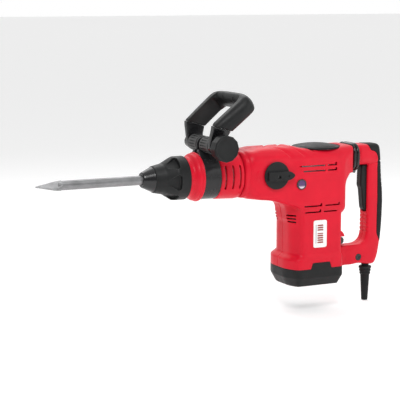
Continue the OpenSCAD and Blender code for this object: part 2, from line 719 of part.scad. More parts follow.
// ---- auxiliary handle ----
module clamp_band() {
    ear = 8;                         // outer face of each ear from the middle plane
    color(black) difference() {
        union() {
            rod_x(neck_r + 2.2, band_x[0], band_x[1]);
            box([band_x[0], band_x[1]], [-ear, ear], [30, aux_z - 8]);
            box([aux_x - 12, aux_x + 12], [-ear, ear], [aux_z - 10, aux_z + 8]);
            rod_y(aux_x, aux_z, 14, -ear, ear);
        }
        rod_x(neck_r + slack, 100, 160);
        box([100, 160], [-ear + 2.4, ear - 2.4], [30, 90]);
        rod_y(aux_x, aux_z, 5 + fit, -20, 20);
    }
}
module pivot_bolt() {
    color(steel) {
        rod_y(aux_x, aux_z, 5, -92, 58);
        rod_y(aux_x, aux_z, 12.5, 57, 64);
    }
}
module aux_hubs() {                  // serrated hubs between the ears and the brackets
    color(black) for (s = [0, 1]) mirror([0, s, 0]) difference() {
        rod_y(aux_x, aux_z, 16, -42, -8.4);
        rod_y(aux_x, aux_z, 5 + fit, -50, 0);
        for (i = [0:17]) translate([aux_x, 0, aux_z]) rotate([0, i * 20, 0])
            translate([15, -30, -1]) cube([3, 16, 2]);
    }
}
arm_y = aux_span / 2;                // centre of each arm at the bend
flare = 7;                           // how much wider the arms stand at the cross bar
bend = [140, 97];                    // centre line where the bracket meets the grip, X and Z
bar = [195, 142];                    // centre of the cross bar
lean = atan2(bar.y - bend.y, bar.x - bend.x);
across = [-sin(lean), cos(lean)];    // from the lower to the upper edge of the grip
grip_w = 16.5;                       // half width of the grip arms
module aux_brackets() {
    low = bend - grip_w * across;
    color(black) for (s = [0, 1]) mirror([0, s, 0]) difference() {
        intersection() {
            side_slab([[aux_x - 15, aux_z - 6, 6], [aux_x - 6, aux_z - 15, 6],
                       [aux_x + 6, aux_z - 15, 6], [aux_x + 17, aux_z - 6, 8],
                       [aux_x + 19, 76, 4], [158.5, 91, 0], [121, 103, 2], [aux_x - 15, 70, 6]], 90);
            end_slab([[-52, 40, 0], [-42.4, 40, 0], [-42.4, 68, 0], [-arm_y + 10, 98, 4],
                      [-arm_y + 10, 120, 0], [-arm_y - 4, 120, 0], [-arm_y - 4, 98, 4], [-53, 68, 0]], 100, 180);
        }
        rod_y(aux_x, aux_z, 5 + fit, -90, 0);
    }
}
module aux_grip() {                  // U-shaped grip: two arms that flare out and a cross bar
    w = grip_w;
    far = norm(bar - bend);
    color(black) difference() {
        translate([bend.x, 0, bend.y]) rotate([0, -lean, 0]) difference() {
            intersection() {
                side_slab([[-14, -w, 0], [far + 4, -w, 12], [far + w + 1, 0, 12],
                           [far + 6, w + 1, 14], [far - 10, w, 8], [-14, w, 0]], 90);
                plan_slab([[-14, -arm_y - 8.5, 0], [far, -arm_y - flare - 11, 18],
                           [far + w - 1, -arm_y + 12, 16], [far + w + 2, 0, 20],
                           [far + w - 1, arm_y - 12, 16], [far, arm_y + flare + 11, 18],
                           [-14, arm_y + 8.5, 0]], -60, 60);
                end_slab(both_sides([[arm_y + flare + 4, -w - 2, 6], [arm_y + flare + 11, -9, 8],
                                     [arm_y + flare + 11, 9, 8], [arm_y + flare + 4, w + 2, 6]]), -20, 120);
            }
            plan_slab([[-40, -arm_y + 11, 0], [far - 8, -arm_y - flare + 12, 12],
                       [far - 8, arm_y + flare - 12, 12], [-40, arm_y - 11, 0]], -60, 60);
            for (y = [-21, 21]) translate([far - 7, y, 10]) cube([6, 3, 7], center = true);
        }
        side_slab([[100, 20, 0], [200, 20, 0], [158.7, 91.25, 0], [121, 103.3, 0], [100, 110, 0]], 100);
    }
}
module aux_knob() {                  // faceted clamping knob on the end of the bolt
    color(black) difference() {
        translate([aux_x, 0, aux_z]) rotate([90, 0, 0]) {
            translate([0, 0, 56]) cylinder(r = 11, h = 14.1);
            translate([0, 0, 70]) cylinder(r1 = 20, r2 = knob_r, h = 6.01, $fn = 12);
            translate([0, 0, 76]) cylinder(r = knob_r, h = 18, $fn = 12);
            translate([0, 0, 94]) cylinder(r = knob_r - 2, h = 2);
        }
        rod_y(aux_x, aux_z, 5.1, -92.2, 0);
    }
}

bull_point();
dust_cap();
locking_sleeve();
nose_ring();
tool_holder();
lock_rollers();
lock_ring();
sleeve_spring();
front_barrel();
holder_bush();
impact_bolt();
damping_ring();
cylinder_tube();
striker();
piston();
wrist_pin();
connecting_rod();
barrel_cover();
crank_case();
crank_gear();
crankshaft();
crank_bearings();
armature_shaft();
armature_core();
commutator();
cooling_fan();
armature_bearings();
stator();
air_baffle();
brush_holders();
carbon_brushes();
housing_left();
housing_right();
housing_screws();
crank_lid();
selector_knob();
selector_shaft();
sight_glass();
glass_bezel();
side_label();
motor_cap();
cap_screws();
speed_dial();
handle_left();
handle_right();
handle_pad();
trigger();
trigger_pin();
trigger_switch();
boot();
damper_spring();
pivot_screw();
cord_guard();
clamp_band();
pivot_bolt();
aux_hubs();
aux_brackets();
aux_grip();
aux_knob();
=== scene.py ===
"""Looks of the demolition hammer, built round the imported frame.

Blender works in metres. Shapes are worked out in mm as signed distances, negative inside, which
round and join smoothly, and are then meshed.
"""
import json
import math

import bpy
import numpy as np
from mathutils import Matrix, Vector


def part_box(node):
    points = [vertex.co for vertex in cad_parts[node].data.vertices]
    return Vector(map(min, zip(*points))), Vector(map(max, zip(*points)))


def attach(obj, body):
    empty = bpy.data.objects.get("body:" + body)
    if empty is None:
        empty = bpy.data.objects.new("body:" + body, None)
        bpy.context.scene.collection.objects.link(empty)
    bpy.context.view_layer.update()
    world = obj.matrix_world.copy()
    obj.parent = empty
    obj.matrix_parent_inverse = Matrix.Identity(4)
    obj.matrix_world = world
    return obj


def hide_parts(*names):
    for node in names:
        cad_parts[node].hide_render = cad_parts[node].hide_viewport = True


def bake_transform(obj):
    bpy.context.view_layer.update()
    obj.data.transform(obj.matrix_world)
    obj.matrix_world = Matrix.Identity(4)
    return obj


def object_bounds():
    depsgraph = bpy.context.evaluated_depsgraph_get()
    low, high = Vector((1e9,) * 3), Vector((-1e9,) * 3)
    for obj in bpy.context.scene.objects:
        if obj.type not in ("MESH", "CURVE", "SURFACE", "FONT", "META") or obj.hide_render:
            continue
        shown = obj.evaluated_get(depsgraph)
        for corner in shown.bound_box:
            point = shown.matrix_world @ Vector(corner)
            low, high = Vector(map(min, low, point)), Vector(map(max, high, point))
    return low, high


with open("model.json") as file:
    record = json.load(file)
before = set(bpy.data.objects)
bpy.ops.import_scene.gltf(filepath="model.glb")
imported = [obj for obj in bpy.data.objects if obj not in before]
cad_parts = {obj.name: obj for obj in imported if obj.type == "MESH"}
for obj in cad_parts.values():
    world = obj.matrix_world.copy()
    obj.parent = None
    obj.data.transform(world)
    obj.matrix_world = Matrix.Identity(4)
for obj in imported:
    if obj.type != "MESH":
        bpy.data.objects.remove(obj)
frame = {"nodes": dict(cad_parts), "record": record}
cad_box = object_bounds()
NODES = frame["nodes"]
BODY_OF = {n: b for b, ns in frame["record"]["behaviour"]["bodies"].items() for n in ns}
SLOT_OF = {s["node"]: s["material_slot"] for s in frame["record"]["subparts"]}
MM = 0.001


def lo(node, axis):
    """Lowest coordinate of a CAD node along axis, in mm."""
    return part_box(node)[0]["xyz".index(axis)] / MM


def hi(node, axis):
    """Highest coordinate of a CAD node along axis, in mm."""
    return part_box(node)[1]["xyz".index(axis)] / MM


def mid(node, axis):
    """Middle coordinate of a CAD node along axis, in mm."""
    return (lo(node, axis) + hi(node, axis)) / 2


# ---- driving places, in mm, read from the frame where it holds them ----
BASE_Z = lo("motor_cap", "z")
NOSE_END = lo("housing_left", "x")                # front end of the gear housing
CRANK_X = mid("crank_lid", "x")
LID_R = (hi("crank_lid", "x") - lo("crank_lid", "x")) / 2
LID_Z = lo("crank_lid", "z")
KNOB_X = mid("selector_shaft", "x")
AUX_X = mid("pivot_bolt", "x")
AUX_Z = mid("pivot_bolt", "z")
BAND = (lo("clamp_band", "x"), hi("clamp_band", "x"))
SLEEVE_R = hi("locking_sleeve", "z")
BOOT = (lo("boot", "x"), hi("boot", "x"))
GLASS = (mid("sight_glass", "x"), mid("sight_glass", "z"))
PIVOT = (mid("pivot_screw", "x"), mid("pivot_screw", "z"))
WALL = 3.0                                        # of the hollow red shells
CAP_TOP = -192.0                                  # joint between the housing and the motor cap
GEAR_HALF = 56.0                                  # half widths
MOTOR_HALF = 52.0
CAP_HALF = 57.0
GRIP_HALF = 17.0


# ---- outlines ----
def rounded(points, steps=8):
    """Rounds each corner by its third value with a quadratic blend, never longer than its edges."""
    p = [np.array(q[:2], float) for q in points]
    out = []
    for i, b in enumerate(p):
        a, c = p[i - 1], p[(i + 1) % len(p)]
        la, lc = np.linalg.norm(a - b), np.linalg.norm(c - b)
        r = min(points[i][2] if len(points[i]) > 2 else 0, 0.45 * la, 0.45 * lc)
        if r <= 0:
            out.append(b)
            continue
        s, e = b + (a - b) / la * r, b + (c - b) / lc * r
        for t in np.linspace(0, 1, steps):
            out.append((1 - t) ** 2 * s + 2 * t * (1 - t) * b + t * t * e)
    return np.array(out)


def both_sides(half):
    """Mirrors the right half of an outline, listed bottom to top, into a closed one."""
    return list(half) + [(-q[0],) + tuple(q[1:]) for q in reversed(half)]


def poly(points, u, v):
    """Signed distance to a closed outline, negative inside; u and v broadcast."""
    p = rounded(points)
    u, v = np.broadcast_arrays(np.asarray(u, np.float32), np.asarray(v, np.float32))
    best = np.full(u.shape, 1e9, np.float32)
    inside = np.zeros(u.shape, bool)
    for i in range(len(p)):
        (ax, ay), (bx, by) = p[i - 1], p[i]
        ex, ey = bx - ax, by - ay
        length = ex * ex + ey * ey
        if length < 1e-12:
            continue
        wx, wy = u - ax, v - ay
        t = np.clip((wx * ex + wy * ey) / length, 0, 1)
        best = np.minimum(best, (wx - t * ex) ** 2 + (wy - t * ey) ** 2)
        if abs(ey) > 1e-12:
            cross = ((ay > v) != (by > v)) & (u < ex * (v - ay) / ey + ax)
            inside ^= cross
    d = np.sqrt(best)
    return np.where(inside, -d, d)


def smax(a, b, k):
    """Intersection with its edge rounded over about k mm."""
    h = np.maximum(k - np.abs(a - b), 0) / k
    return np.maximum(a, b) + h * h * k / 4


def smin(a, b, k):
    """Union with its corner filled over about k mm."""
    h = np.maximum(k - np.abs(a - b), 0) / k
    return np.minimum(a, b) - h * h * k / 4


def cut(a, b, k=0.8):
    """a with b taken away."""
    return smax(a, -b, k)


def slab(v, a, b):
    """Distance to the slab between a and b along one coordinate."""
    return np.abs(v - (a + b) / 2) - (b - a) / 2


def box3(x, y, z, bx, by, bz, k=0.8):
    """Distance to a box with rounded edges, given as three ranges."""
    return smax(smax(slab(x, *bx), slab(y, *by), k), slab(z, *bz), k)


def circle(u, v, centre, r):
    """Distance to a round bar along the third axis."""
    return np.sqrt((u - centre[0]) ** 2 + (v - centre[1]) ** 2) - r


def radius(y, z):
    """Distance from the tool axis."""
    return np.sqrt(y * y + z * z)


def nothing(x, y, z):
    """An empty shape, to which cuts are added."""
    return np.full(np.broadcast(x, y, z).shape, 50, np.float32)


# ---- implicit shape to mesh: surface nets, then a few steps onto the surface ----
PROBE = 0.2                                       # mm between the two points that give a slope
LEAST_SLOPE = 0.25                                # squared slope below which steps stay short
LONGEST_STEP = 0.45                               # of the grid's step
DAMPING = 0.9


def sampled(f, axes, step):
    """Values of f on the grid, closed at the ends of the grid."""
    x, y, z = axes[0][:, None, None], axes[1][None, :, None], axes[2][None, None, :]
    d = np.broadcast_to(f(x, y, z), [len(a) for a in axes]).astype(np.float32)
    for axis in range(3):
        edge = [slice(None)] * 3
        for end in (0, -1):
            edge[axis] = end
            d[tuple(edge)] = np.maximum(d[tuple(edge)], 0.5 * step)
    return d


def cell_points(d):
    """One point in each cell that the surface crosses, in grid steps, and each cell's number."""
    inside = d < 0
    n = [m - 1 for m in d.shape]
    corners = [(i, j, k) for i in (0, 1) for j in (0, 1) for k in (0, 1)]
    count = sum(inside[i:i + n[0], j:j + n[1], k:k + n[2]].astype(np.int8) for i, j, k in corners)
    cells = np.argwhere((count > 0) & (count < len(corners)))
    value = {c: d[cells[:, 0] + c[0], cells[:, 1] + c[1], cells[:, 2] + c[2]] for c in corners}
    total = np.zeros((len(cells), 3))
    hits = np.zeros(len(cells))
    for a in corners:
        for axis in range(3):
            if a[axis]:
                continue
            b = tuple(1 if q == axis else a[q] for q in range(3))
            va, vb = value[a], value[b]
            crossed = (va < 0) != (vb < 0)
            t = np.where(crossed, va / np.where(crossed, va - vb, 1), 0)
            point = np.tile(np.array(a, float), (len(cells), 1))
            point[:, axis] += t
            total[crossed] += point[crossed]
            hits[crossed] += 1
    number = np.full(n, -1, np.int64)
    number[tuple(cells.T)] = np.arange(len(cells))
    return cells + total / hits[:, None], number


def quads(inside, number):
    """One face for each grid edge that the surface crosses, through the four cells round it."""
    faces = []
    for axis in range(3):
        p, q = (axis + 1) % 3, (axis + 2) % 3
        first = [slice(1, -1)] * 3
        second = [slice(1, -1)] * 3
        first[axis], second[axis] = slice(0, -1), slice(1, None)
        a, b = inside[tuple(first)], inside[tuple(second)]
        for flip, mask in ((False, a & ~b), (True, ~a & b)):
            edges = np.argwhere(mask)
            edges[:, p] += 1
            edges[:, q] += 1
            ring = []
            for dp, dq in ((0, 0), (1, 0), (1, 1), (0, 1)):
                cell = edges.copy()
                cell[:, p] -= 1 - dp
                cell[:, q] -= 1 - dq
                ring.append(number[tuple(cell.T)])
            faces.append(np.stack(ring[::-1] if flip else ring, 1))
    return np.concatenate(faces)


def surface(name, f, box, step, steps=3):
    """Meshes f(x, y, z) < 0 inside box = ((x0, x1), (y0, y1), (z0, z1)), all in mm."""
    def at(v):
        return np.asarray(f(v[:, 0], v[:, 1], v[:, 2]), float)

    axes = [np.arange(a - 2 * step, b + 3 * step, step, dtype=np.float32) for a, b in box]
    d = sampled(f, axes, step)
    points, number = cell_points(d)
    faces = quads(d < 0, number)
    verts = points * step + [a[0] for a in axes]
    for _ in range(steps):
        here = at(verts)
        grad = np.stack([(at(verts + PROBE * np.eye(3)[k]) - here) / PROBE for k in range(3)], 1)
        slope = np.maximum((grad ** 2).sum(1), LEAST_SLOPE)
        move = -here[:, None] * grad / slope[:, None]
        far = np.maximum(np.linalg.norm(move, axis=1), 1e-9)
        verts = verts + move * np.minimum(1, LONGEST_STEP * step / far)[:, None] * DAMPING
    return mesh_object(name, verts, faces)


def mesh_object(name, verts, faces):
    """A smooth-shaded object from points in mm."""
    mesh = bpy.data.meshes.new(name)
    points = (np.asarray(verts, float) * MM).tolist()
    mesh.from_pydata(points, [], [list(map(int, q)) for q in faces])
    mesh.validate()
    mesh.update()
    mesh.polygons.foreach_set("use_smooth", [True] * len(mesh.polygons))
    piece = bpy.data.objects.new(name, mesh)
    bpy.context.scene.collection.objects.link(piece)
    return piece


def place(piece, node, material, bend=False):
    """The piece stands for CAD node `node` and takes the given material; it goes on the node's body,
    or with bend its transform is baked and it stays on no body.
    """
    if bend:
        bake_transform(piece)
    else:
        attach(piece, BODY_OF[node])
    piece.data.materials.clear()
    piece.data.materials.append(material)


def shell(node, shape, box, step, material, prefix="shell", bend=False):
    """Meshes the shape that is seen in place of CAD node `node`."""
    piece = surface(f"{prefix}_{node}", shape, box, step)
    place(piece, node, MATS[material], bend)
    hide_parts(node)


def halves(nodes, shape, box, step, gap):
    """Left and right red shells, which meet at the middle plane with a fine open seam."""
    for side, node in zip((-1, 1), nodes):
        def half(x, y, z):
            return smax(shape(x, y, z), gap - side * y, 0.9)

        y_range = (box[1][0], 0) if side < 0 else (0, box[1][1])
        shell(node, half, (box[0], y_range, box[2]), step, "red")


# ---- materials ----
NOISE_RANGE = (0.3, 0.7)                          # where nearly all of a noise texture's values lie
EDGE_WEAR_AND_HIGHLIGHT = (0.53, 0.62)                          # pointiness from a plain edge to a fully worn one, and on the lid to the full painted highlight


def noise(tree, coord, scale, detail):
    node = tree.nodes.new("ShaderNodeTexNoise")
    node.inputs["Scale"].default_value = scale
    node.inputs["Detail"].default_value = detail
    tree.links.new(coord, node.inputs["Vector"])
    return node.outputs["Fac"]


def ranged(tree, value, source, target=(0, 1), smooth=False):
    """Maps a value from the range source onto the range target."""
    node = tree.nodes.new("ShaderNodeMapRange")
    if smooth:
        node.interpolation_type = "SMOOTHSTEP"
    node.inputs["From Min"].default_value = source[0]
    node.inputs["From Max"].default_value = source[1]
    node.inputs["To Min"].default_value = target[0]
    node.inputs["To Max"].default_value = target[1]
    tree.links.new(value, node.inputs["Value"])
    return node.outputs["Result"]


def mixed(tree, fac, a, b):
    """Mixes from a, which is a colour or a socket, to the colour b."""
    node = tree.nodes.new("ShaderNodeMix")
    node.data_type = "RGBA"
    if isinstance(a, tuple):
        node.inputs["A"].default_value = (*a, 1)
    else:
        tree.links.new(a, node.inputs["A"])
    node.inputs["B"].default_value = (*b, 1)
    tree.links.new(fac, node.inputs["Factor"])
    return node.outputs["Result"]


def scaled(colour, k):
    return tuple(min(1, c * k) for c in colour)


def finish(name, colour, rough, grain=900, depth=0.05, metallic=0.0, vary=0.12, stretch=(1, 1, 1),
           coat=0.0, rough_spread=0.07, smear=35, specular=0.32, edge_wear_and_highlight=None):
    """Moulded plastic, rubber, paint or metal: grain bump, cloudy colour and roughness.

    Sharp edges can take a lighter colour, given with how far they reach it: worn edges, and on the lid
    a painted highlight along its rim.
    """
    mat = bpy.data.materials.new(name)
    mat.use_nodes = True
    tree = mat.node_tree
    shader = tree.nodes["Principled BSDF"]
    shader.inputs["Metallic"].default_value = metallic
    shader.inputs["Specular IOR Level"].default_value = specular
    shader.inputs["Coat Weight"].default_value = coat
    shader.inputs["Coat Roughness"].default_value = 0.12
    coords = tree.nodes.new("ShaderNodeTexCoord").outputs["Object"]
    mapping = tree.nodes.new("ShaderNodeMapping")
    mapping.inputs["Scale"].default_value = stretch
    tree.links.new(coords, mapping.inputs["Vector"])
    vector = mapping.outputs["Vector"]

    cloud = ranged(tree, noise(tree, coords, smear, 4), NOISE_RANGE)
    tone = mixed(tree, cloud, scaled(colour, 1 - vary), scaled(colour, 1 + vary))
    if edge_wear_and_highlight:
        edge_colour, amount = edge_wear_and_highlight
        # sharp edges lighten: wear, and on the lid a painted highlight along the rim
        edge = tree.nodes.new("ShaderNodeNewGeometry").outputs["Pointiness"]
        tone = mixed(tree, ranged(tree, edge, EDGE_WEAR_AND_HIGHLIGHT, (0, amount)), tone, edge_colour)
    tree.links.new(tone, shader.inputs["Base Color"])

    patches = noise(tree, vector, grain / 12, 3)
    roughness = ranged(tree, patches, NOISE_RANGE, (rough - rough_spread, rough + rough_spread))
    tree.links.new(roughness, shader.inputs["Roughness"])

    bump = tree.nodes.new("ShaderNodeBump")
    bump.inputs["Strength"].default_value = min(1.0, depth * 6)
    bump.inputs["Distance"].default_value = 0.0004 * depth * 4
    tree.links.new(noise(tree, vector, grain, 2), bump.inputs["Height"])
    tree.links.new(bump.outputs["Normal"], shader.inputs["Normal"])
    return mat


RED = (0.66, 0.0075, 0.026)
BLACK = (0.013, 0.0135, 0.0138)
MATS = {
    "red": finish("red_plastic", RED, 0.36, grain=1500, depth=0.05, vary=0.05, specular=0.18,
                  edge_wear_and_highlight=((0.82, 0.05, 0.08), 0.35)),
    "black": finish("black_plastic", BLACK, 0.44, grain=1300, depth=0.12, vary=0.22, specular=0.2,
                    edge_wear_and_highlight=((0.10, 0.10, 0.10), 0.7)),
    "grip": finish("grip_rubber", (0.014, 0.014, 0.0145), 0.56, grain=900, depth=0.22, vary=0.2,
                   specular=0.14, edge_wear_and_highlight=((0.08, 0.08, 0.08), 0.4)),
    "gloss": finish("gloss_black", (0.008, 0.008, 0.009), 0.20, grain=700, depth=0.02, vary=0.2,
                    rough_spread=0.05, specular=0.5),
    # the lid's light grey edge colour is a painted highlight along its rim
    "lid": finish("lid_plastic", (0.008, 0.008, 0.009), 0.42, grain=1100, depth=0.10, vary=0.2,
                  specular=0.14, edge_wear_and_highlight=((0.16, 0.16, 0.16), 0.7)),
    "strap": finish("black_steel", (0.016, 0.016, 0.017), 0.24, grain=1100, depth=0.03, vary=0.25,
                    rough_spread=0.06, edge_wear_and_highlight=((0.42, 0.43, 0.44), 0.8)),
    "chisel": finish("forged_steel", (0.26, 0.26, 0.265), 0.46, grain=2200, depth=0.10, metallic=0.9,
                     vary=0.16, stretch=(0.03, 1, 1), rough_spread=0.08, smear=60),
    "steel": finish("ground_steel", (0.55, 0.56, 0.57), 0.28, grain=1800, depth=0.08, metallic=1.0,
                    vary=0.1),
    "alloy": finish("cast_alloy", (0.60, 0.61, 0.62), 0.48, grain=500, depth=0.25, metallic=0.9,
                    vary=0.1),
    "bronze": finish("bronze", (0.50, 0.33, 0.14), 0.35, grain=900, depth=0.08, metallic=1.0),
    "copper": finish("copper", (0.62, 0.30, 0.17), 0.30, grain=900, depth=0.08, metallic=1.0),
    "core": finish("laminations", (0.20, 0.205, 0.21), 0.45, grain=1500, depth=0.3, metallic=0.6,
                   stretch=(1, 1, 12)),
    "carbon": finish("carbon", (0.03, 0.03, 0.03), 0.6, grain=1500, depth=0.15),
    "label": finish("label_film", (0.86, 0.86, 0.85), 0.34, grain=400, depth=0.02, vary=0.02,
                    coat=0.2),
    "print": finish("label_print", (0.33, 0.055, 0.035), 0.4, grain=500, depth=0.02, vary=0.08),
    "print_grey": finish("label_print_grey", (0.16, 0.16, 0.17), 0.4, grain=500, depth=0.02, vary=0.1),
}
BY_SLOT = {"red_shell": "red", "black_plastic": "black", "gloss_black": "gloss", "rubber": "grip",
           "chisel_steel": "chisel", "steel": "steel", "alloy": "alloy", "bronze": "bronze",
           "copper": "copper", "laminations": "core", "carbon": "carbon", "lens": "gloss",
           "label_white": "label", "black_steel": "strap"}


def lens_material():
    """Dark violet glass with a painted highlight: a pale crescent at its lower edge."""
    mat = finish("sight_lens", (0.06, 0.025, 0.10), 0.08, grain=300, depth=0.01, coat=0.8)
    tree = mat.node_tree
    position = tree.nodes.new("ShaderNodeTexCoord").outputs["Object"]
    parts = tree.nodes.new("ShaderNodeSeparateXYZ")
    tree.links.new(position, parts.inputs["Vector"])
    # painted highlight: the lens turns pale towards its lower edge
    lit_crescent_span = ((GLASS[1] - 1.5) * MM, (GLASS[1] - 7.5) * MM)
    lit_crescent = ranged(tree, parts.outputs["Z"], lit_crescent_span, smooth=True)
    tone = mixed(tree, lit_crescent, (0.07, 0.02, 0.12), (0.85, 0.70, 0.78))
    tree.links.new(tone, tree.nodes["Principled BSDF"].inputs["Base Color"])
    return mat


# ---- housing ----
GEAR_WIDE = GEAR_HALF + 0.9                       # the rounded intersection takes 0.9 off
GEAR_SIDE = [(NOSE_END, -45.5, 0), (252, -49, 14), (318, -69, 8), (324, -96, 6), (412, -96, 6),
             (425, -77, 6), (425, -24, 12), (440, -8, 8), (450, -8, 0), (450, 48.5, 0), (415, 48, 0),
             (329, 47.5, 14), (313, 53.4, 12), (236, 52.6, 8), (224, 48.6, 8), (NOSE_END, 47, 0)]
GEAR_PLAN = [(NOSE_END, -48.5, 0), (236, -53, 12), (300, -53, 14), (326, -GEAR_WIDE, 16),
             (412, -GEAR_WIDE, 18), (430, -46, 12), (450, -36, 0), (450, 36, 0), (430, 46, 12),
             (412, GEAR_WIDE, 18), (326, GEAR_WIDE, 16), (300, 53, 14), (236, 53, 12),
             (NOSE_END, 48.5, 0)]
GEAR_END = both_sides([(34, -102, 4), (60, -68, 14), (60, 23, 24), (30, 54.5, 24)])
NOSE_FILLET = [(290, -58, 0), (303, -71, 8), (308, -92, 0), (316, -92, 0), (316, -58, 0)]
MOTOR_PLAN = [(308, -26, 10), (322, -MOTOR_HALF, 8), (415, -MOTOR_HALF, 9),
              (415, MOTOR_HALF, 9), (322, MOTOR_HALF, 8), (308, 26, 10)]
CAP_PLAN = [(297, -28, 12), (311, -CAP_HALF, 11), (418, -CAP_HALF, 14), (418, CAP_HALF, 14),
            (311, CAP_HALF, 11), (297, 28, 12)]
BUMP_SIDE = [(405, -158.6, 0), (444, -158.6, 0), (444, -137, 7), (437, -127.5, 9), (405, -127.5, 0)]
LUG_SIDE = [(412, -191.5, 0), (418.4, -191.5, 0), (418.4, -197.5, 0), (484, -194, 8),
            (484, -176, 8), (412, -172, 0)]
# louvres: front end, rear end, height, and how far the pocket at the rear end rises
VENTS = [(313, 372, 14, 0), (377, 398, 14, 5), (322, 372, 4, 0), (377, 398, 4, 5),
         (325, 365, -66, 5), (373, 406, -66, 5), (329, 364.5, -78.7, 5), (371, 401, -78.7, 0)]
TOP_GROOVES = (255, 286, 317)
# places in the side view, and the lug of the motor cap that laps over the housing
SCREWS = [(236, 37), (236, -37), (438, 38), (330, -170), (402, -170)]
TAB = [(341, CAP_TOP - 6, 0), (388, CAP_TOP - 6, 0), (388, CAP_TOP, 0), (384, -180, 1.5),
       (345, -180, 1.5), (341, CAP_TOP, 0)]


CONE_R = 49                                       # of the gear housing at the nose
CONE_SLOPE = 0.62
CONE_SCALE = 0.85                                 # cosine of the slope, which keeps it a distance
CONE_END = 262
MOTOR_TOP = -52                                   # inside the gear housing
SKIRT_TOP = -161.5                                # where the motor housing starts to widen
SKIRT_RUN = 13.0
VENT_DEEP = 3.6
VENT_HALF = 1.2
TICK_WIDE = 3.6
OUTSIDE = 90                                      # clear of every side
CORNER = (311.5, 29)                              # front corner of the motor housing, in plan
CORNER_TURN = math.radians(18)
MARK = (232, 11)                                  # centre and radius of the mark by the selector
BOSS_R = 7
SCREW_HOLE_R = 5


def gear_shape(x, y, z):
    cone = (radius(y, z) - CONE_R - np.maximum(x - NOSE_END, 0) * CONE_SLOPE) * CONE_SCALE
    d = smax(poly(GEAR_SIDE, x, z), poly(GEAR_PLAN, x, y), 8)
    d = smax(d, poly(GEAR_END, y, z), 8)
    return smax(d, np.where(x > CONE_END, -20, cone), 7)


def motor_shape(x, y, z):
    t = np.clip((SKIRT_TOP - z) / SKIRT_RUN, 0, 1)
    t = t * t * (3 - 2 * t)
    d = (1 - t) * poly(MOTOR_PLAN, x, y) + t * poly(CAP_PLAN, x, y)
    return smax(smax(d, CAP_TOP - z, 1.2), z - MOTOR_TOP, 2)


def vent_cuts(x, y, z):
    """Louvre grooves on both sides, some with a deeper pocket at the rear end."""
    side = np.abs(y)
    d = nothing(x, y, z)
    for x0, x1, height, tick in VENTS:
        skin = GEAR_HALF if height > -70 else MOTOR_HALF
        d = np.minimum(d, box3(x, side, z, (x0, x1), (skin - VENT_DEEP, OUTSIDE),
                               (height - VENT_HALF, height + VENT_HALF), 0.7))
        if tick:
            d = np.minimum(d, box3(x, side, z, (x1 - TICK_WIDE, x1), (48, OUTSIDE),
                                   (height - VENT_HALF, height + tick), 0.7))
    return d


def front_vent_cuts(x, y, z):
    """Three short slots round each front corner of the motor housing."""
    across, out = x - CORNER[0], np.abs(y) - CORNER[1]
    u = across * math.cos(CORNER_TURN) - out * math.sin(CORNER_TURN)
    v = across * math.sin(CORNER_TURN) + out * math.cos(CORNER_TURN)
    d = nothing(x, y, z)
    for height in (-85.5, -92, -98.5):
        d = np.minimum(d, box3(u, v, z, (-7, 5.5), (-11, 11), (height - 1.4, height + 1.4), 0.9))
    return d


def selector_mark(x, y, z):
    """Height of the raised arc ahead of the selector, on the left side only."""
    ring = np.exp(-((np.sqrt((x - MARK[0]) ** 2 + z * z) - MARK[1]) / 1.3) ** 2)
    return 0.8 * ring * np.where((x < 227) & (y < -30), 1, 0)


def top_groove(x, y, z, x0):
    """Depth of a soft diagonal groove across the top, steep in front and shallow behind."""
    along = x - 0.85 * np.abs(y) - x0
    depth = 3.2 * np.clip(1 - np.where(along > 0, along / 11, -along / 3.5), 0, 1) ** 1.3
    return depth * np.clip((z - 30) / 12, 0, 1) * np.where(x < 352, 1, 0)


def housing_skin(x, y, z):
    """The closed outside of gear and motor housing, before anything is opened."""
    fillet = smax(poly(NOSE_FILLET, x, z), np.abs(y) - 30, 14)
    d = smin(gear_shape(x, y, z), smin(motor_shape(x, y, z), fillet, 14), 3)
    d = d - selector_mark(x, y, z)
    for x0 in TOP_GROOVES:
        d = d + top_groove(x, y, z, x0)
    neck = np.exp(-((x - 207) / 3.2) ** 2) * 1.4   # shallow groove round the front end
    return d + neck


def housing_shape(x, y, z):
    d = housing_skin(x, y, z)
    cavity = d + WALL
    for screw in SCREWS:
        cavity = cut(cavity, circle(x, z, screw, BOSS_R), 1)
    d = smin(d, smax(poly(BUMP_SIDE, x, z), np.abs(y) - 16, 3), 1.5)
    d = smin(d, smax(poly(LUG_SIDE, x, z), np.abs(y) - 9, 3), 2)
    d = cut(d, cavity, 0.5)
    # seat of the crank lid, bore for the barrel, window of the speed dial, hole of the sight glass
    r_crank = np.sqrt((x - CRANK_X) ** 2 + y * y)
    d = cut(d, smax(r_crank - LID_R - 0.5, LID_Z - 0.4 - z, 0.6), 1.0)
    d = cut(d, smax(radius(y, z) - 39.2, x - 214, 1), 1)
    d = cut(d, box3(x, y, z, (427.2, 470), (-30, 4), (-157.1, -140.4)), 0.8)
    d = cut(d, smax(circle(x, z, GLASS, 10), y + 51, 0.5), 1.2)
    d = cut(d, vent_cuts(x, y, z), 0.8)
    d = cut(d, front_vent_cuts(x, y, z), 0.8)
    for screw in SCREWS:
        d = cut(d, smax(circle(x, z, screw, SCREW_HOLE_R), 22 - y, 0.5), 1.0)
    # room for the lug of the motor cap, and the shallow seat of the label
    d = cut(d, smax(poly(TAB, x, z) - 0.35, 40 - np.abs(y), 0.5), 0.6)
    seat = smax(slab(x, 347.5, 379), slab(z, -150.7, -94.8), 3)
    return cut(d, smax(seat, y + MOTOR_HALF - 0.7, 0.3), 0.3)


def housing():
    halves(("housing_left", "housing_right"), housing_shape,
           ((NOSE_END, 484), (-58, 58), (-198, 54)), 1.2, 0.18)


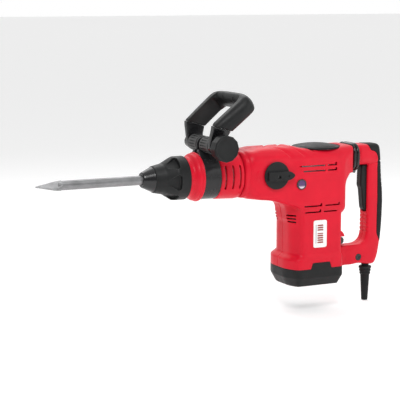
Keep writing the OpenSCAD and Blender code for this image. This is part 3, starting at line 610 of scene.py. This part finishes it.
# ---- nose ----
SLEEVE = [(22.4, 15.4), (22.4, 25.5), (42, 29.6), (61, 41.4), (63.5, SLEEVE_R), (85.3, SLEEVE_R),
          (87, 40.9), (87, 38.7), (76, 38.7), (72, 30), (56, 30), (50, 24), (48, 24), (48, 15.4)]
SCOOP = [(40, -1.5, 0), (63, -16, 4), (67.5, -12, 4), (67.5, 12, 4), (63, 16, 4), (40, 1.5, 0)]
RING = [(83, 35.5), (83, 37.6), (83.6, 38.2), (94.5, 38.2, 3), (97.5, 39.6, 3), (101, 43.9, 3),
        (104, 45.5, 2), (106.6, 45.9, 1), (107.6, 45.2, 1), (108.6, 46.4, 1), (110, 47.5, 1),
        (112, 47.5, 1), (114, 46.4), (114, 39.2), (108.2, 39.2), (108.2, 35.5)]
COVER = [(114.3, 39.2), (114.3, 42), (149.4, 42), (149.4, 44.2, 0.5), (151, 45.4, 1), (172, 46.3),
         (190, 47), (192, 46.4, 1), (NOSE_END - 0.3, 46.2), (NOSE_END - 0.3, 39.2)]


def sleeve_shape(x, y, z):
    """The sleeve, with six finger scoops round its cone."""
    d = poly(SLEEVE, x, radius(y, z))
    floor = 32 + 0.12 * (x - 52)
    for k in range(6):
        a = math.radians(36 + 60 * k)
        across = y * math.cos(a) + z * math.sin(a)
        out = -y * math.sin(a) + z * math.cos(a)
        d = cut(d, smax(poly(SCOOP, x, across), floor - out, 1.2), 1.0)
    return d


def ring_shape(x, y, z):
    return poly(RING, x, radius(y, z))


def cover_shape(x, y, z):
    """The barrel cover, with three slots on each side."""
    d = poly(COVER, x, radius(y, z))
    for at in (158.6, 174.3, 189):
        slot = smax(slab(x, at - 1.9, at + 1.9), np.abs(z) - 23, 3)
        d = cut(d, smax(slot, 30 - np.abs(y), 0.5), 0.9)
    return d


def nose():
    for node, shape, x_range, half, material in (
            ("locking_sleeve", sleeve_shape, (22, 88), 43, "black"),
            ("nose_ring", ring_shape, (83, 114.5), 48.5, "red"),
            ("barrel_cover", cover_shape, (114, 197), 48.5, "red")):
        shell(node, shape, (x_range, (-half, half), (-half, half)), 0.9, material)


# ---- motor cap ----
WAIST_Z = -209                                    # below it the sides draw in
DRAW_IN = 10.5


def cap_shape(x, y, z):
    t = np.clip((WAIST_Z - z) / (WAIST_Z - BASE_Z), 0, 1)
    d = poly(CAP_PLAN, x, y) + DRAW_IN * t
    d = smax(smax(d, z - CAP_TOP, 0.8), BASE_Z - z, 3.0)
    lug = smax(smax(poly(TAB, x, z), poly(CAP_PLAN, x, y), 1.0), CAP_HALF - 5 - np.abs(y), 0.5)
    d = smin(d, lug, 0.3)
    for at in range(-14, 15, 7):                   # air slots at the rear of the base
        d = cut(d, box3(x, y, z, (386, 404), (at - 1.5, at + 1.5), (BASE_Z - 5, BASE_Z + 6)), 0.6)
    for sx in (325, 392):
        for sy in (-36, 36):
            hole = circle(x, y, (sx, sy), 5.2)
            d = cut(d, smax(hole, z - BASE_Z - 3.5, 0.5), 0.8)
    return d


def motor_cap():
    shell("motor_cap", cap_shape, ((297, 418), (-57, 57), (BASE_Z, -179)), 1.1, "black")


# ---- rear handle ----
HANDLE_SIDE = [(424, -207, 0), (478, -199, 6), (517, -206, 9), (526.5, -186, 14), (533, -152, 20),
               (537, -112, 20), (538.5, -64, 24), (532.5, -20, 20), (530, 20, 16), (525, 47.5, 18),
               (466, 47.5, 0), (466, 4.3, 0), (497, 4.3, 2), (497, -100, 0), (496, -160, 26),
               (424, -160, 0)]
HANDLE_PLAN = [(424, -GRIP_HALF, 0), (450, -GRIP_HALF, 6), (466, -30, 4), (484, -28, 12),
               (510, -20, 14), (540, -13, 6), (540, 13, 6), (510, 20, 14), (484, 28, 12),
               (466, 30, 4), (450, GRIP_HALF, 6), (424, GRIP_HALF, 0)]
HANDLE_END = both_sides([(10, -209, 8), (GRIP_HALF, -200, 12), (GRIP_HALF, 4, 10), (30, 18, 12),
                         (30, 38, 12), (20, 48, 12)])
PAD_SIDE = [(520, -140, 6), (530, -158, 0), (560, -158, 0), (560, 60, 0), (488, 60, 0),
            (497, 34, 5), (511, 31.5, 7), (519, 20, 10), (521, -64, 0)]


def handle_shape(x, y, z):
    """The grip with finger ribs below the trigger, and a fold under its upper block."""
    d = smax(poly(HANDLE_SIDE, x, z), poly(HANDLE_PLAN, x, y), 12)
    d = smax(d, poly(HANDLE_END, y, z), 7)
    wave = np.clip(np.cos((z + 101) * 2 * math.pi / 8.4), 0, 1) ** 2
    ribs = wave * np.clip((500 - x) / 2.5, 0, 1) * np.where((z < -97) & (z > -139), 1.5, 0)
    fold = 1.3 * np.exp(-((z - 5 - 0.16 * (x - 500)) / 1.5) ** 2) * np.where(x > 500, 1, 0)
    return d + ribs + fold


def handle_red(x, y, z):
    """The hollow red shell: without its pad, and open for trigger, switch, lug and pivot screw."""
    d = handle_shape(x, y, z)
    d = cut(d, d + WALL, 0.5)
    d = cut(d, poly(PAD_SIDE, x, z) - 0.2, 0.8)
    d = cut(d, box3(x, y, z, (470, 517), (-9.7, 9.7), (-94, 4.6)), 0.8)
    d = cut(d, box3(x, y, z, (410, 480), (-12, 12), (-203, -170), 2), 0.8)
    return cut(d, smax(circle(x, z, PIVOT, 7), GRIP_HALF - 2.2 - np.abs(y), 0.5), 1.2)


def pad_shape(x, y, z):
    """The soft pad over the back of the grip, with shallow ribs across it."""
    d = smax(handle_shape(x, y, z) - 0.35, poly(PAD_SIDE, x, z) + 0.2, 1.6)
    along = np.abs(((z + 20) / 9) % 1 - 0.5)
    ribs = 0.55 * np.clip(1 - along * 5, 0, 1) * np.clip((x - 524) / 4, 0, 1)
    return d + ribs * np.clip(1 - np.abs(z + 30) / 45, 0, 1)


def rear_handle():
    halves(("handle_left", "handle_right"), handle_red,
           ((424, 541), (-31, 31), (-209, 49)), 1.05, 0.15)
    shell("handle_pad", pad_shape, ((486, 541), (-31, 31), (-160, 49)), 0.95, "grip")


TRIGGER_SIDE = [(509, -91, 2), (509, 3.6, 3), (485, 3.6, 5), (483.6, -40, 3), (486.8, -46, 4),
                (491, -86, 6), (494, -91, 3)]


def trigger_shape(x, y, z):
    d = smax(poly(TRIGGER_SIDE, x, z), np.abs(y) - 9.2, 4)
    return cut(d, box3(x, y, z, (493, 520), (-7, 7), (-88, -14)), 0.5)


BOOT_END = both_sides([(20, -9, 12), (35.5, 5, 14), (35.5, 37, 14), (23, 50.5, 12)])
BOOT_IN = 4.5                                     # of the boot's skin, inside its ribs


def boot_shape(x, y, z):
    """A sleeve with a rounded rib near each end."""
    e = poly(BOOT_END, y, z)
    d = smax(e + BOOT_IN, slab(x, BOOT[0], BOOT[1]), 1)
    for at in (BOOT[0] + 3.9, BOOT[1] - 3.9):
        rib = np.sqrt(((x - at) / 3.7) ** 2 + (np.maximum(e + BOOT_IN, -1) / 4.3) ** 2) - 1
        d = smin(d, rib * 3.7, 0.8)
    return cut(d, e + 7, 0.5)


HOOK_SIDE = [(465.8, 4, 0), (465.8, -6, 4), (468.5, -13, 3), (473, -13, 3), (474, -9, 3),
             (471.5, -5, 3), (474, -1, 3), (482, 0.5, 2), (482, 4, 0)]


def hook_shape(x, y, z):
    return smax(poly(HOOK_SIDE, x, z), np.abs(y) - 6, 2.5)


def handle_details():
    shell("trigger", trigger_shape, ((483, 510), (-9.5, 9.5), (-91, 4)), 0.8, "black")
    shell("boot", boot_shape, (BOOT, (-36, 36), (-10, 51.5)), 0.8, "gloss", bend=True)
    hook = surface("boot_hook", hook_shape, ((465, 483), (-6.5, 6.5), (-13.5, 4.2)), 0.7)
    place(hook, "handle_left", MATS["gloss"])


# ---- pieces on the housing ----
def lid_shape(x, y, z):
    """A low dome with a fine groove near its rim."""
    r = np.sqrt((x - CRANK_X) ** 2 + y * y)
    top = LID_Z + 9.6 - 6.5 * (r / LID_R) ** 2
    d = smax(smax((z - top) * 0.93, r - LID_R, 1.6), LID_Z - z, 0.6)
    groove = np.exp(-((r - LID_R + 6) / 0.9) ** 2) * 0.7
    return d + groove * np.where(z > LID_Z + 1, 1, 0)


KNOB_BAR = [(-21, -9, 2), (24, -9, 4), (32, -6, 4), (37, -1.8, 2.5), (37, 1.8, 2.5), (32, 6, 4),
            (24, 9, 4), (-21, 9, 2)]
KNOB_FACE = -58.0


def knob_shape(x, y, z):
    """A disc with a pointed bar across it, a hole in the bar and a dot near its tip."""
    u, w = x - KNOB_X, z + 1
    disc = smax(np.sqrt(u * u + z * z) - 27, slab(y, KNOB_FACE, -54.4), 1.6)
    bar = smax(poly(KNOB_BAR, u, w), slab(y, -63.4, -56), 1.6)
    d = smin(disc, bar, 0.8)
    d = cut(d, smax(circle(u, w, (2, -1.5), 3.5), y + 59, 0.3), 0.8)
    return cut(d, smax(circle(u, w, (23, -0.3), 1.5), y + 61, 0.3), 0.6)


def aux_knob_shape(x, y, z):
    """Clamping knob: a short stem, then a drum with twelve flats and a dished face."""
    u, w = x - AUX_X, z - AUX_Z
    r = np.sqrt(u * u + w * w)
    sector = 2 * math.pi / 12
    turn = np.abs((np.arctan2(w, u) / sector) % 1 - 0.5) * sector
    flats = r * np.cos(turn) - 24.6
    t = np.clip((y + 76) / 6, 0, 1)
    drum = smax(flats + 5.2 * t, slab(y, -96, -70), 2.4)
    drum = cut(drum, smax(r - 21.0, y + 95.2, 0.5), 1.2)
    stem = smax(r - 11, slab(y, -72, -56), 1)
    return smin(drum, stem, 2)


def fittings():
    shell("crank_lid", lid_shape,
          ((CRANK_X - LID_R, CRANK_X + LID_R), (-LID_R, LID_R), (LID_Z, LID_Z + 10)), 0.8, "lid")
    shell("selector_knob", knob_shape,
          ((KNOB_X - 27, KNOB_X + 38), (-63.6, -54), (-27, 27)), 0.6, "black")
    shell("aux_knob", aux_knob_shape,
          ((AUX_X - 26, AUX_X + 26), (-96, -56), (AUX_Z - 26, AUX_Z + 26)), 0.8, "black")


# ---- auxiliary handle ----
ARM_Y = 62.0                                      # middle of an arm from the middle plane
FLARE = 7.0                                       # how far the arms spread towards the cross bar
BEND = np.array([140.0, 97.0])                    # ends of the leaning part, in the side view
BAR = np.array([195.0, 142.0])
GRIP_W = 16.5                                     # half the width of an arm
FAR = float(np.linalg.norm(BAR - BEND))
LEAN = math.atan2(BAR[1] - BEND[1], BAR[0] - BEND[0])


def along_grip(x, z):
    """Coordinates along the arms and across them, from the bend."""
    dx, dz = x - BEND[0], z - BEND[1]
    along = dx * math.cos(LEAN) + dz * math.sin(LEAN)
    return along, -dx * math.sin(LEAN) + dz * math.cos(LEAN)


GRIP_SIDE = [(-14, -GRIP_W - 1, 0), (FAR + 8, -GRIP_W - 1, 14), (FAR + GRIP_W + 5, -2, 16),
             (FAR + 9, GRIP_W + 2.5, 16), (FAR - 10, GRIP_W + 1, 10), (-14, GRIP_W + 0.5, 0)]
HALF_OUT = [(-14, ARM_Y + 8.5), (FAR - 2, ARM_Y + FLARE + 13, 20), (FAR + GRIP_W + 2, 47, 20),
            (FAR + GRIP_W + 5, 0, 30)]
GRIP_OUT = [(q[0], -q[1]) + tuple(q[2:]) for q in HALF_OUT] + list(reversed(HALF_OUT[:-1]))
GRIP_IN = [(-60, -ARM_Y + 12, 0), (FAR - 8, -ARM_Y - FLARE + 12, 9), (FAR - 8, ARM_Y + FLARE - 12, 9),
           (-60, ARM_Y - 12, 0)]
BRACKET_SIDE = [(AUX_X - 15, AUX_Z - 6, 8), (AUX_X - 6, AUX_Z - 15, 8), (AUX_X + 6, AUX_Z - 15, 8),
                (AUX_X + 17, AUX_Z - 6, 8), (AUX_X + 19, 76, 5), (158.5, 91, 0), (121, 103, 2),
                (AUX_X - 15, 70, 8)]
BRACKET_END = [(42.4, 40, 0), (52, 40, 0), (53, 68, 8), (ARM_Y + 4, 98, 8), (ARM_Y + 4, 120, 0),
               (ARM_Y - 10, 120, 0), (ARM_Y - 10, 98, 6), (42.4, 68, 6)]
SEAM = (121, 103.3)                               # front end of the seam of grip and brackets
SEAM_SLOPE = math.atan2(91.25 - SEAM[1], 158.7 - SEAM[0])


def grip_shape(x, y, z):
    u, w = along_grip(x, z)
    side = np.abs(y)
    d = smax(poly(GRIP_SIDE, u, w), poly(GRIP_OUT, u, y), 14)
    # arms taper a little towards their edges, so that their outer faces are crowned
    d = smax(d, side - ARM_Y - FLARE - 13 + 0.035 * w * w, 8)
    # crisp inner edges along the arms, well rounded ones along the cross bar
    bar = np.clip((u - FAR + 24) / 14, 0, 1) * np.clip((54 - side) / 8, 0, 1)
    d = cut(d, poly(GRIP_IN, u, y) + 0.010 * w * w, 3 + 17 * bar)
    for at in (-21, 21):
        slot = box3(u, y, w, (FAR - 12, FAR - 2), (at - 1.7, at + 1.7), (8, 15), 1.0)
        d = cut(d, slot, 0.6)
    seam = (x - SEAM[0]) * -math.sin(SEAM_SLOPE) + (z - SEAM[1]) * math.cos(SEAM_SLOPE)
    return smax(d, 0.15 - seam, 1.4)


def bracket_shape(x, y, z):
    """Both brackets, with the hole of the pivot bolt."""
    d = smax(poly(BRACKET_SIDE, x, z), poly(BRACKET_END, np.abs(y), z), 2.2)
    return cut(d, circle(x, z, (AUX_X, AUX_Z), 5), 0.5)


SADDLE = [(-30, 32, 0), (30, 32, 0), (13, 50, 5), (8, 56, 2), (8, 80, 0), (-8, 80, 0), (-8, 56, 2),
          (-13, 50, 5)]


def band_shape(x, y, z):
    """A strap round the nose, a saddle on it, and a split ear that carries the pivot bolt."""
    r = radius(y, z)
    strap = smax(r - 44.3, slab(x, *BAND), 1.2)
    saddle = smax(poly(SADDLE, y, z), smax(slab(x, *BAND), z - 53, 1), 1.2)
    ear = smax(circle(x, z, (AUX_X, AUX_Z), 14),
               smax(slab(x, AUX_X - 14, AUX_X + 14), z - 200, 1), 1)
    neck = box3(x, y, z, (AUX_X - 13, AUX_X + 13), (-8, 8), (40, AUX_Z), 1)
    ear = smax(smin(ear, neck, 3), np.abs(y) - 8, 1.2)
    d = smin(smin(strap, saddle, 1.5), ear, 2)
    d = cut(d, r - 42.3, 0.5)
    return cut(d, box3(x, y, z, (90, 170), (-5.6, 5.6), (30, 90)), 0.8)


def aux_handle():
    shell("aux_grip", grip_shape, ((108, 222), (-81, 81), (74, 168)), 1.0, "black")
    shell("aux_brackets", bracket_shape, ((118, 161), (-67, 67), (46, 104)), 0.9, "gloss")
    shell("clamp_band", band_shape, (BAND, (-45, 45), (-45, 77)), 0.8, "strap")


# ---- label ----
FILM = ((348, 378.5), (-150.2, -95.3))            # the film's ranges along X and Z
HATCH = 4.5                                       # pitch of the hatching, a third of which is gap


def label():
    """White film with round corners and a generic printed mark: two hatched bars and a thin line."""
    def film(x, y, z):
        outline = smax(slab(x, *FILM[0]), slab(z, *FILM[1]), 5)
        return smax(outline, slab(y, -52.35, -51.4), 0.2)

    shell("side_label", film, (FILM[0], (-52.6, -51.2), (-150.5, -95)), 0.5, "label", prefix="film")
    for name, xs, zs, material in (("label_bar_a", (357, 370), (-117, -103.5), "print"),
                                   ("label_bar_b", (357, 370), (-142, -121), "print"),
                                   ("label_line", (353, 354.2), (-142, -103.5), "print_grey")):
        def mark(x, y, z):
            lines = np.abs(((z - zs[0]) / HATCH) % 1 - 0.5) * HATCH - 1.5
            outline = smax(slab(x, *xs), slab(z, *zs), 0.8)
            outline = smax(outline, lines if material == "print" else -1, 0.4)
            return smax(outline, slab(y, -52.55, -51.8), 0.1)

        bar = surface(name, mark, (xs, (-52.6, -51.7), zs), 0.3, steps=1)
        place(bar, "side_label", MATS[material])


# ---- CAD meshes that stay in view ----
GLOSSY = ("pivot_screw", "selector_shaft", "pivot_bolt")
BEVELLED = {"bull_point": 0.0003, "dust_cap": 0.0005, "aux_hubs": 0.0005, "cord_guard": 0.0005,
            "speed_dial": 0.0005, "glass_bezel": 0.0005, "pivot_screw": 0.0005,
            "pivot_bolt": 0.0005}


def cad_finish():
    """CAD nodes get their slot's material, and those in view get small bevels on sharp edges."""
    lens = lens_material()
    for name, node in NODES.items():
        key = "gloss" if name in GLOSSY else BY_SLOT[SLOT_OF[name]]
        node.data.materials.clear()
        node.data.materials.append(lens if name == "sight_glass" else MATS[key])
        if name in BEVELLED:
            bevel = node.modifiers.new("bevel", "BEVEL")
            bevel.width = BEVELLED[name]
            bevel.segments = 2
            bevel.limit_method = "ANGLE"
            bevel.angle_limit = math.radians(35)


# ---- studio ----
FLOOR_HALF = 30.0                                 # m
FLOOR_GAP = 0.001                                 # m below the lowest point


def link(piece):
    bpy.context.scene.collection.objects.link(piece)


def aimed(direction):
    """Rotation that points a light or camera along a direction."""
    return direction.to_track_quat("-Z", "Y").to_euler()


def sky():
    """White surroundings, brighter above and behind the tool."""
    world = bpy.data.worlds.new("studio")
    bpy.context.scene.world = world
    world.use_nodes = True
    tree = world.node_tree
    facing = tree.nodes.new("ShaderNodeVectorMath")
    facing.operation = "DOT_PRODUCT"
    facing.inputs[1].default_value = (0.34, 0.70, 0.62)
    direction = tree.nodes.new("ShaderNodeTexCoord").outputs["Generated"]
    tree.links.new(direction, facing.inputs[0])
    strength = ranged(tree, facing.outputs["Value"], (0.0, 0.72), (0.20, 1.0), smooth=True)
    background = tree.nodes["Background"]
    background.inputs["Color"].default_value = (1, 1, 1, 1)
    tree.links.new(strength, background.inputs["Strength"])


def floor():
    mesh = bpy.data.meshes.new("floor")
    z = cad_box[0][2] - FLOOR_GAP
    corners = ((-1, -1), (1, -1), (1, 1), (-1, 1))
    mesh.from_pydata([(a * FLOOR_HALF, b * FLOOR_HALF, z) for a, b in corners], [], [(0, 1, 2, 3)])
    plane = bpy.data.objects.new("floor", mesh)
    link(plane)
    mat = bpy.data.materials.new("floor")
    mat.use_nodes = True
    shader = mat.node_tree.nodes["Principled BSDF"]
    shader.inputs["Base Color"].default_value = (0.93, 0.93, 0.93, 1)
    shader.inputs["Roughness"].default_value = 0.8
    shader.inputs["Emission Color"].default_value = (1, 1, 1, 1)
    shader.inputs["Emission Strength"].default_value = 0.2
    mesh.materials.append(mat)


def lights():
    """Square area lights: name, place, aim, side in metres and power in watts."""
    for name, at, aim, side, power in (
            ("key", (-0.35, -1.2, 1.45), (0.2, 0, -0.05), 0.7, 19),
            ("fill", (1.3, -1.2, 0.5), (0.3, 0, -0.1), 1.2, 7),
            ("rim", (0.5, 1.2, 1.3), (0.2, 0, 0), 1.2, 10),
            ("strip", (-1.3, -0.9, 0.9), (0.0, 0, 0), 0.5, 2)):
        data = bpy.data.lights.new(name, "AREA")
        data.energy = power
        data.size = side
        light = bpy.data.objects.new(name, data)
        light.location = at
        light.rotation_euler = aimed(Vector(aim) - Vector(at))
        link(light)


def camera():
    """The camera that was fitted to the photo."""
    azimuth, elevation, distance = math.radians(-26), math.radians(8.8), 2.605
    target = Vector((0.1238, 0, -0.046))
    back = Vector((math.sin(azimuth) * math.cos(elevation), -math.cos(azimuth) * math.cos(elevation),
                   math.sin(elevation)))
    data = bpy.data.cameras.new("camera")
    data.sensor_width = 36
    data.lens = 121.5
    data.clip_end = 50
    cam = bpy.data.objects.new("camera", data)
    cam.location = target + back * distance
    cam.rotation_euler = aimed(-back)
    link(cam)
    bpy.context.scene.camera = cam
    bpy.context.scene.view_settings.view_transform = "Standard"


housing()
nose()
motor_cap()
rear_handle()
handle_details()
fittings()
aux_handle()
label()
cad_finish()
sky()
floor()
lights()
camera()
